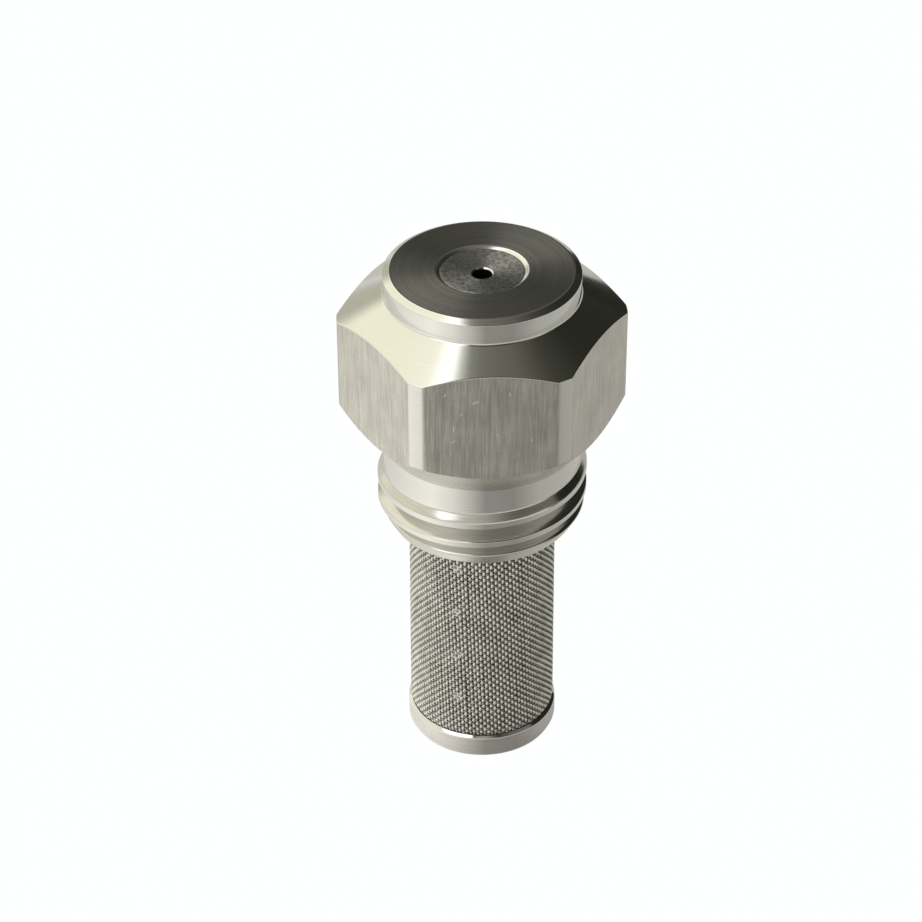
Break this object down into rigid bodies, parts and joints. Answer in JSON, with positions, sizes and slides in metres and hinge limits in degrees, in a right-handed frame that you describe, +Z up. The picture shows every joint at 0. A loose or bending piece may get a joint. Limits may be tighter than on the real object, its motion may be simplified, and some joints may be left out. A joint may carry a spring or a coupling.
{
  "type": "oil burner nozzle",
  "caption": "Hexagonal steel spray nozzle with an outer thread, a swirl insert and a screwed-in woven mesh strainer with an end cap.",
  "frame": {"origin": "centre of the end cap's bottom face, on the axis, where the nozzle stands", "axes": "+Z up the axis from the end cap to the orifice; one flat of the hexagon faces -Y"},
  "size_m": [0.0188, 0.0168, 0.0365],
  "materials": {
    "body_steel": "turned and ground stainless steel, polished on the neck and the cone",
    "disc_steel": "hardened stainless steel, turned, satin",
    "distributor_steel": "turned stainless steel",
    "plug_steel": "turned stainless steel",
    "washer_ptfe": "white sealing plastic",
    "adapter_steel": "turned stainless steel",
    "band_steel": "rolled stainless strip",
    "mesh_wire": "plain woven stainless wire cloth",
    "weld_steel": "pressed spot welds",
    "ring_steel": "turned stainless steel",
    "cap_steel": "turned stainless steel, satin"
  },
  "bodies": {
    "nozzle": {"nozzle_body": "body_steel", "orifice_disc": "disc_steel"},
    "washer": {"sealing_washer": "washer_ptfe"},
    "strainer": {"strainer_adapter": "adapter_steel", "crimp_band": "band_steel", "filter_mesh": "mesh_wire", "seam_spot_welds": "weld_steel", "clamp_ring": "ring_steel", "end_cap": "cap_steel"},
    "distributor": {"swirl_distributor": "distributor_steel"},
    "plug": {"retaining_plug": "plug_steel"}
  },
  "joints": [
    {"name": "strainer_travel", "type": "slide", "parent": "nozzle", "child": "washer", "axis": [0, 0, -1], "range_m": [0, 0.006]},
    {"name": "strainer_unscrew", "type": "hinge", "parent": "washer", "child": "strainer", "pos_m": [0, 0, 0.021], "axis": [0, 0, -1], "range_deg": [0, 2160]},
    {"name": "plug_travel", "type": "slide", "parent": "nozzle", "child": "distributor", "axis": [0, 0, -1], "range_m": [0, 0.0015]},
    {"name": "plug_unscrew", "type": "hinge", "parent": "distributor", "child": "plug", "pos_m": [0, 0, 0.026], "axis": [0, 0, -1], "range_deg": [0, 720]}
  ],
  "couplings": [
    {"joint": "strainer_unscrew", "follows": "strainer_travel", "rad_per_m": 6283.2},
    {"joint": "plug_unscrew", "follows": "plug_travel", "rad_per_m": 8377.6}
  ]
}
